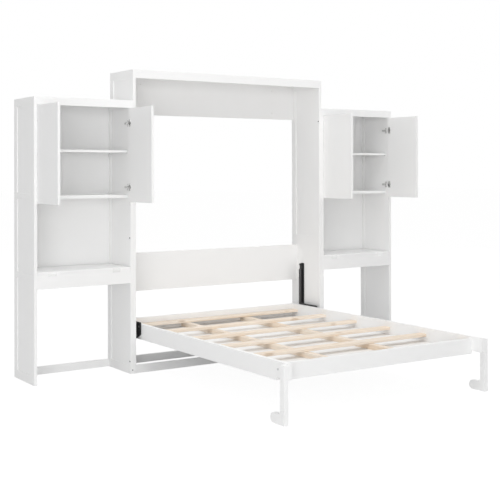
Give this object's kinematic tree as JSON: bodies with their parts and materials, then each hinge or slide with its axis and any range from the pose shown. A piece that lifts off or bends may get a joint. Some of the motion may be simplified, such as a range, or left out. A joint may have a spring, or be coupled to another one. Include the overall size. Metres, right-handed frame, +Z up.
{
  "type": "wall bed with fold down desk",
  "caption": "Wall bed that folds down on legs from a tall cabinet, between cupboard units with open doors, shelves and fold-out desk leaves.",
  "frame": {"origin": "on the floor under the middle of the bounding box, bed down and doors open", "axes": "+X to the right seen from the foot of the bed, +Y towards the wall, +Z up"},
  "size_m": [3.192, 2.15, 2.17],
  "materials": {
    "white_paint": "satin white paint on board",
    "pine": "planed, unfinished pine",
    "black_steel": "black powder coat",
    "bright_steel": "zinc and nickel plated"
  },
  "bodies": {
    "cabinet": {"left_outer_side": "white_paint", "left_inner_side": "white_paint", "left_side_panels": "white_paint", "left_top": "white_paint", "left_fascia": "white_paint", "left_cupboard_floor": "white_paint", "left_shelf": "white_paint", "left_cupboard_back": "white_paint", "left_desk_top": "white_paint", "right_outer_side": "white_paint", "right_inner_side": "white_paint", "right_side_panels": "white_paint", "right_top": "white_paint", "right_fascia": "white_paint", "right_cupboard_floor": "white_paint", "right_shelf": "white_paint", "right_cupboard_back": "white_paint", "right_desk_top": "white_paint", "desk_aprons": "white_paint", "desk_floor_stretchers": "white_paint", "shelf_pins": "bright_steel", "door_hinge_arms": "bright_steel", "leaf_hinges": "bright_steel", "bed_cabinet_left_side": "white_paint", "bed_cabinet_right_side": "white_paint", "bed_cabinet_side_panels": "white_paint", "bed_cabinet_top": "white_paint", "bed_cabinet_fascia": "white_paint", "header_board": "white_paint", "headboard": "white_paint", "floor_rails": "white_paint", "pivot_plates": "black_steel", "strut_brackets": "black_steel"},
    "bed": {"bed_head_rail": "white_paint", "bed_foot_rail": "white_paint", "bed_left_rail": "white_paint", "bed_right_rail": "white_paint", "underside_panel": "white_paint", "bed_supports": "pine", "bed_slats": "pine", "left_leg": "white_paint", "right_leg": "white_paint", "bed_brackets": "black_steel", "bed_bolts": "bright_steel"},
    "left_outer_door": {"left_outer_door": "white_paint", "left_outer_door_cups": "bright_steel"},
    "left_inner_door": {"left_inner_door": "white_paint", "left_inner_door_cups": "bright_steel"},
    "left_leaf": {"left_desk_leaf": "white_paint", "left_leaf_hinge_flaps": "bright_steel"},
    "left_rod": {"left_strut_rod": "black_steel"},
    "left_cylinder": {"left_strut_cylinder": "black_steel"},
    "right_outer_door": {"right_outer_door": "white_paint", "right_outer_door_cups": "bright_steel"},
    "right_inner_door": {"right_inner_door": "white_paint", "right_inner_door_cups": "bright_steel"},
    "right_leaf": {"right_desk_leaf": "white_paint", "right_leaf_hinge_flaps": "bright_steel"},
    "right_rod": {"right_strut_rod": "black_steel"},
    "right_cylinder": {"right_strut_cylinder": "black_steel"}
  },
  "joints": [
    {"name": "bed_fold", "type": "hinge", "parent": "cabinet", "child": "bed", "pos_m": [0, 0.762, 0.262], "axis": [-1, 0, 0], "range_deg": [0, 90]},
    {"name": "left_outer_door_swing", "type": "hinge", "parent": "cabinet", "child": "left_outer_door", "pos_m": [-1.5734, 0.7056, 1.5565], "axis": [0, 0, 1], "range_deg": [-15, 90]},
    {"name": "left_inner_door_swing", "type": "hinge", "parent": "cabinet", "child": "left_inner_door", "pos_m": [-0.8726, 0.7056, 1.5565], "axis": [0, 0, -1], "range_deg": [-15, 90]},
    {"name": "left_leaf_fold", "type": "hinge", "parent": "cabinet", "child": "left_leaf", "pos_m": [-1.223, 0.70475, 0.74415], "axis": [1, 0, 0], "range_deg": [0, 180]},
    {"name": "left_strut_swing", "type": "hinge", "parent": "cabinet", "child": "left_rod", "pos_m": [-0.8105, 0.937, 0.675], "axis": [-1, 0, 0], "range_deg": [0, 13.13]},
    {"name": "left_strut_slide", "type": "slide", "parent": "left_rod", "child": "left_cylinder", "axis": [0, 0, -1], "range_m": [0, 0.22885]},
    {"name": "right_outer_door_swing", "type": "hinge", "parent": "cabinet", "child": "right_outer_door", "pos_m": [1.5734, 0.7056, 1.5565], "axis": [0, 0, -1], "range_deg": [-15, 90]},
    {"name": "right_inner_door_swing", "type": "hinge", "parent": "cabinet", "child": "right_inner_door", "pos_m": [0.8726, 0.7056, 1.5565], "axis": [0, 0, 1], "range_deg": [-15, 90]},
    {"name": "right_leaf_fold", "type": "hinge", "parent": "cabinet", "child": "right_leaf", "pos_m": [1.223, 0.70475, 0.74415], "axis": [1, 0, 0], "range_deg": [0, 180]},
    {"name": "right_strut_swing", "type": "hinge", "parent": "cabinet", "child": "right_rod", "pos_m": [0.8105, 0.937, 0.675], "axis": [-1, 0, 0], "range_deg": [0, 13.13]},
    {"name": "right_strut_slide", "type": "slide", "parent": "right_rod", "child": "right_cylinder", "axis": [0, 0, -1], "range_m": [0, 0.22885]}
  ],
  "couplings": [
    {"joint": "left_strut_swing", "follows": "bed_fold", "ratio": 0.14573},
    {"joint": "left_strut_slide", "follows": "bed_fold", "m_per_rad": 0.14563},
    {"joint": "right_strut_swing", "follows": "bed_fold", "ratio": 0.14573},
    {"joint": "right_strut_slide", "follows": "bed_fold", "m_per_rad": 0.14563}
  ]
}
